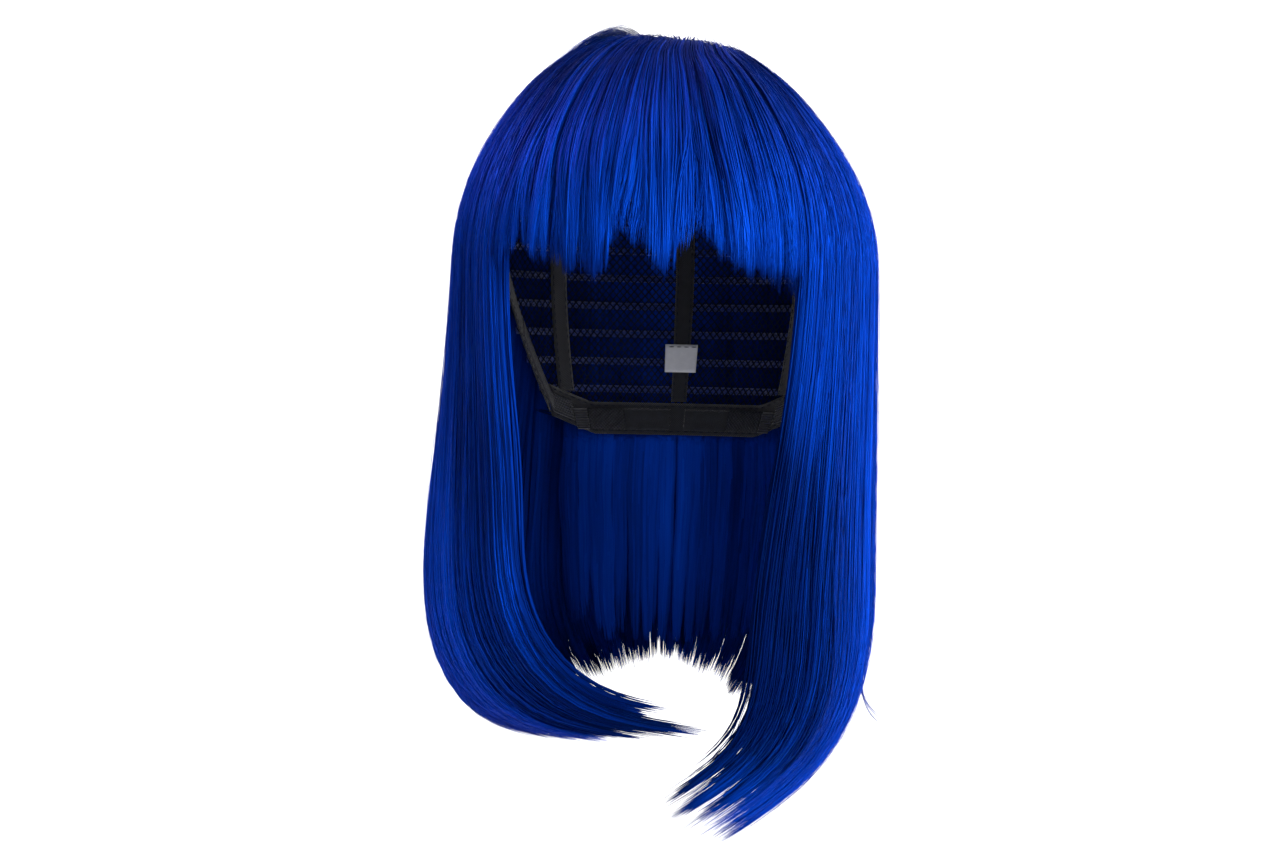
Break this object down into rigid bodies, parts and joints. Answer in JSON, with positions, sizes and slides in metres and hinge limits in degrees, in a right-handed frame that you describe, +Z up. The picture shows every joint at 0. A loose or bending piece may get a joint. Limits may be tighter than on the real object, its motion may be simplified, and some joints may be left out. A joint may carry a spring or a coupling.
{
  "type": "costume wig",
  "caption": "Straight shoulder-length costume wig in bright blue with a full fringe, on a wefted stretch cap with nape adjusters and ear tabs.",
  "frame": {"origin": "middle of the head opening at hat-line height, level with the brow and the tops of the ears", "axes": "+Z up through the crown, -Y the way the wearer faces, +X the wearer's left"},
  "size_m": [0.1844, 0.2146, 0.3206],
  "materials": {
    "hair": "silky straight synthetic fibre",
    "weft_tape": "folded and stitched fibre tape",
    "net": "open stretch net",
    "band_cloth": "soft woven elastic",
    "elastic": "ribbed elastic",
    "crown_skin": "thin matte skin-top film",
    "label_satin": "satin ribbon, blank",
    "loop_pile": "looped pile",
    "hook_tape": "moulded hooks on tape",
    "stay_wire": "thin flexible stay"
  },
  "bodies": {
    "cap": {"net_crown": "net", "net_front_left": "net", "net_front_right": "net", "net_side_left": "net", "net_side_right": "net", "net_back_left": "net", "net_back_right": "net", "crown_patch": "crown_skin", "front_band": "band_cloth", "side_band_left": "band_cloth", "side_band_right": "band_cloth", "nape_band": "band_cloth", "rib_front": "band_cloth", "rib_back": "band_cloth", "rib_side_left": "band_cloth", "rib_side_right": "band_cloth", "rib_rear_left": "band_cloth", "rib_rear_right": "band_cloth", "care_label": "label_satin", "loop_pad_left": "loop_pile", "loop_pad_right": "loop_pile", "adjuster_strap_left": "elastic", "adjuster_strap_right": "elastic", "crown_hair": "hair", "upper_side_hair_left": "hair", "upper_side_hair_right": "hair", "upper_back_hair": "hair", "weft_row_01": "weft_tape", "weft_row_02": "weft_tape", "weft_row_03": "weft_tape", "weft_row_04": "weft_tape", "weft_row_05": "weft_tape", "weft_row_06": "weft_tape", "weft_row_07": "weft_tape", "weft_row_08": "weft_tape", "weft_row_09": "weft_tape", "weft_row_10": "weft_tape", "weft_row_11": "weft_tape", "weft_row_12": "weft_tape", "weft_row_13": "weft_tape", "weft_row_14": "weft_tape", "weft_row_15": "weft_tape"},
    "fringe": {"fringe_hair": "hair"},
    "side_left": {"side_hair_left": "hair"},
    "side_right": {"side_hair_right": "hair"},
    "back": {"back_hair": "hair"},
    "nape": {"nape_hair": "hair"},
    "tab_ear_left": {"ear_tab_left": "band_cloth", "ear_tab_stay_left": "stay_wire"},
    "tab_ear_right": {"ear_tab_right": "band_cloth", "ear_tab_stay_right": "stay_wire"},
    "adjuster_left": {"adjuster_end_left": "elastic"},
    "adjuster_right": {"adjuster_end_right": "elastic"},
    "hook_tab_left": {"adjuster_tab_left": "hook_tape"},
    "hook_tab_right": {"adjuster_tab_right": "hook_tape"}
  },
  "joints": [
    {"name": "fringe_lift", "type": "hinge", "parent": "cap", "child": "fringe", "pos_m": [0, -0.08856, 0.04909], "axis": [-1, 0, 0], "range_deg": [0, 50]},
    {"name": "side_swing_left", "type": "hinge", "parent": "cap", "child": "side_left", "pos_m": [0.0838, 0, -0.0003], "axis": [0, -1, 0], "range_deg": [0, 35]},
    {"name": "side_swing_right", "type": "hinge", "parent": "cap", "child": "side_right", "pos_m": [-0.0838, 0, -0.0003], "axis": [0, 1, 0], "range_deg": [0, 35]},
    {"name": "back_swing", "type": "hinge", "parent": "cap", "child": "back", "pos_m": [0, 0.1048, -0.0003], "axis": [1, 0, 0], "range_deg": [0, 35]},
    {"name": "nape_swing", "type": "hinge", "parent": "cap", "child": "nape", "pos_m": [0, 0.07664, -0.0729], "axis": [1, 0, 0], "range_deg": [0, 35]},
    {"name": "ear_tab_flex_left", "type": "hinge", "parent": "cap", "child": "tab_ear_left", "pos_m": [0.06987, -0.0309, -0.0006], "axis": [-0.2598, -0.9657, 0], "range_deg": [-25, 5]},
    {"name": "ear_tab_flex_right", "type": "hinge", "parent": "cap", "child": "tab_ear_right", "pos_m": [-0.06987, -0.0309, -0.0006], "axis": [-0.2598, 0.9657, 0], "range_deg": [-25, 5]},
    {"name": "adjuster_tighten_left", "type": "hinge", "parent": "cap", "child": "adjuster_left", "pos_m": [0, 0.0036, -0.06525], "axis": [0, 0, 1], "range_deg": [0, 14], "deforming": ["adjuster_strap_left"]},
    {"name": "adjuster_tighten_right", "type": "hinge", "parent": "cap", "child": "adjuster_right", "pos_m": [0, 0.0036, -0.06525], "axis": [0, 0, -1], "range_deg": [0, 14], "deforming": ["adjuster_strap_right"]},
    {"name": "hook_tab_peel_left", "type": "hinge", "parent": "adjuster_left", "child": "hook_tab_left", "pos_m": [0.03578, 0.05977, -0.06525], "axis": [0.2245, 0.3525, 0.9085], "range_deg": [0, 65]},
    {"name": "hook_tab_peel_right", "type": "hinge", "parent": "adjuster_right", "child": "hook_tab_right", "pos_m": [-0.03578, 0.05977, -0.06525], "axis": [0.2245, -0.3525, -0.9085], "range_deg": [0, 65]}
  ],
  "couplings": [
    {"joint": "nape_swing", "follows": "back_swing", "ratio": 1}
  ]
}
